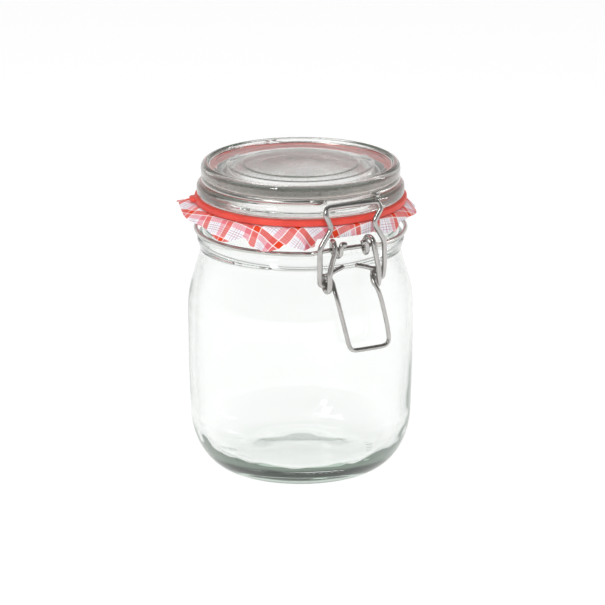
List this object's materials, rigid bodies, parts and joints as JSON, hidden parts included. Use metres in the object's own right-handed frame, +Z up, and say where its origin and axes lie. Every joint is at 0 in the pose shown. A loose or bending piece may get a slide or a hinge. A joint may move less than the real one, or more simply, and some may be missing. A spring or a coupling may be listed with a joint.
{
  "type": "wire-bail glass jar",
  "caption": "Glass storage jar with a hinged glass lid, a red rubber seal, a tartan cloth ruffle and a bent-wire toggle clip that holds the lid shut.",
  "frame": {"origin": "centre of the jar's base, on the surface that it stands on", "axes": "+Z up along the jar's axis, -Y towards the clip at the front, +Y towards the lid's hinge at the back, +X to the right seen from the front"},
  "size_m": [0.118, 0.1229, 0.1534],
  "materials": {
    "jar_glass": "clear pressed soda glass, faint green at its edges",
    "lid_glass": "clear pressed soda glass, faint green at its edges",
    "red_rubber": "satin coral-red natural rubber",
    "tartan_cotton": "plain-weave cotton in a red, white and lilac tartan",
    "steel_wire": "bright drawn steel wire",
    "clip_wire": "bright drawn steel wire"
  },
  "bodies": {
    "jar": {"jar_body": "jar_glass", "neck_wire": "steel_wire", "plaid_cloth": "tartan_cotton"},
    "lid": {"lid": "lid_glass", "lid_wire": "steel_wire", "sealing_ring": "red_rubber"},
    "lever": {"lever_arm_left": "clip_wire", "lever_arm_right": "clip_wire", "handle": "clip_wire"},
    "bail": {"closing_bail": "clip_wire"}
  },
  "joints": [
    {"name": "lid_hinge", "type": "hinge", "parent": "jar", "child": "lid", "pos_m": [0, 0.057, 0.1206], "axis": [-1, 0, 0], "range_deg": [0, 105]},
    {"name": "lever_pivot", "type": "hinge", "parent": "jar", "child": "lever", "pos_m": [0, -0.052, 0.1226], "axis": [-1, 0, 0], "range_deg": [0, 105]},
    {"name": "bail_toggle", "type": "hinge", "parent": "lever", "child": "bail", "pos_m": [0, -0.0535, 0.1062], "axis": [-1, 0, 0], "range_deg": [-131.25, 0]}
  ],
  "couplings": [
    {"joint": "bail_toggle", "follows": "lever_pivot", "ratio": -1.25}
  ]
}
